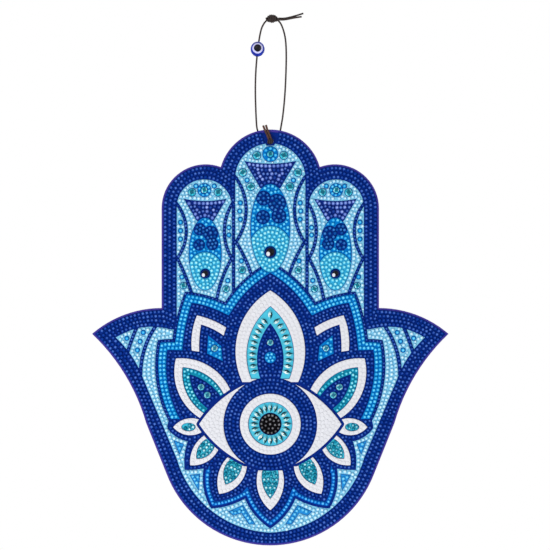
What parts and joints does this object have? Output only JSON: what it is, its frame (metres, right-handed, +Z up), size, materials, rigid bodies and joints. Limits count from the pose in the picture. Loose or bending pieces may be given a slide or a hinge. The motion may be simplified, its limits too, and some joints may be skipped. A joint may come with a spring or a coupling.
{
  "type": "hamsa hand ornament",
  "caption": "Flat hand-shaped hanging ornament faced with small round stones and crystals in an eye and lotus pattern, on a knotted cord loop that carries an eye bead.",
  "frame": {"origin": "the hanging point: the inside of the cord loop's top, just under the knot", "axes": "+Z up along the hanging cord, +X to the viewer's right, +Y away from the viewer to the wall"},
  "size_m": [0.246, 0.0133, 0.368],
  "materials": {
    "board": "matt, sawn fibreboard",
    "print": "satin printed film, violet navy",
    "aqua_print": "satin printed film, aqua",
    "navy_stone": "faceted resin, navy",
    "light_blue_stone": "faceted resin, light blue",
    "sky_blue_stone": "faceted resin, sky blue",
    "cyan_stone": "faceted resin, cyan",
    "teal_stone": "faceted resin, teal",
    "white_stone": "faceted resin, white",
    "indigo_stone": "faceted resin, indigo",
    "black_stone": "faceted resin, black",
    "clear_crystal": "clear faceted resin, foiled back",
    "aqua_crystal": "aqua faceted resin, foiled back",
    "cabochon": "polished dark dome",
    "cord": "waxed, dark brown",
    "blue_glass": "polished blue glass",
    "white_glass": "polished white glass",
    "black_glass": "polished black glass"
  },
  "bodies": {
    "hanging_cord": {"left_strand": "cord", "right_strand": "cord", "top_knot": "cord", "upper_tail": "cord", "lower_tail": "cord"},
    "bead": {"bead_glass": "blue_glass", "bead_rings": "white_glass", "bead_pupils": "black_glass"},
    "hand": {"accent_stones": "sky_blue_stone", "board": "board", "border_stones": "navy_stone", "centre_petal_bed": "aqua_print", "centre_petal_core": "navy_stone", "centre_petal_crystals": "aqua_crystal", "centre_petal_flower": "sky_blue_stone", "centre_petal_white": "white_stone", "eye_ring": "navy_stone", "eye_white": "white_stone", "eye_white_ring": "white_stone", "finger_crystals": "clear_crystal", "finger_flowers": "sky_blue_stone", "fish_backs": "sky_blue_stone", "fish_bellies": "cyan_stone", "fish_eyes": "cabochon", "fish_spots": "navy_stone", "fish_tails": "indigo_stone", "flower_crystals": "clear_crystal", "iris_bed": "aqua_print", "iris_crystals": "aqua_crystal", "left_anchor": "cord", "left_finger_ground": "light_blue_stone", "left_front_tail": "cord", "line_stones": "navy_stone", "lotus_band": "sky_blue_stone", "lotus_ground": "navy_stone", "lower_petal_row": "sky_blue_stone", "lower_petal_teal": "teal_stone", "lower_petal_white": "white_stone", "middle_finger_ground": "light_blue_stone", "palm_ground": "light_blue_stone", "palm_patches": "sky_blue_stone", "petal_crystals": "clear_crystal", "printed_sheet": "print", "pupil_stones": "black_stone", "right_anchor": "cord", "right_finger_ground": "light_blue_stone", "right_front_tail": "cord", "side_petal_core": "navy_stone", "side_petal_teal": "teal_stone", "side_petal_white": "white_stone", "stopper_knot": "cord", "thumb_ground": "light_blue_stone", "upper_petal_patch": "sky_blue_stone", "upper_petal_white": "white_stone"}
  },
  "joints": [
    {"name": "board_swing", "type": "hinge", "parent": "hanging_cord", "child": "hand", "pos_m": [0, 0, -0.0714], "axis": [1, 0, 0], "range_deg": [-90, 90]},
    {"name": "bead_slide", "type": "hinge", "parent": "hanging_cord", "child": "bead", "pos_m": [0.2089, 0, -0.0445], "axis": [0, 1, 0], "range_deg": [-10.8, 1.5]}
  ]
}
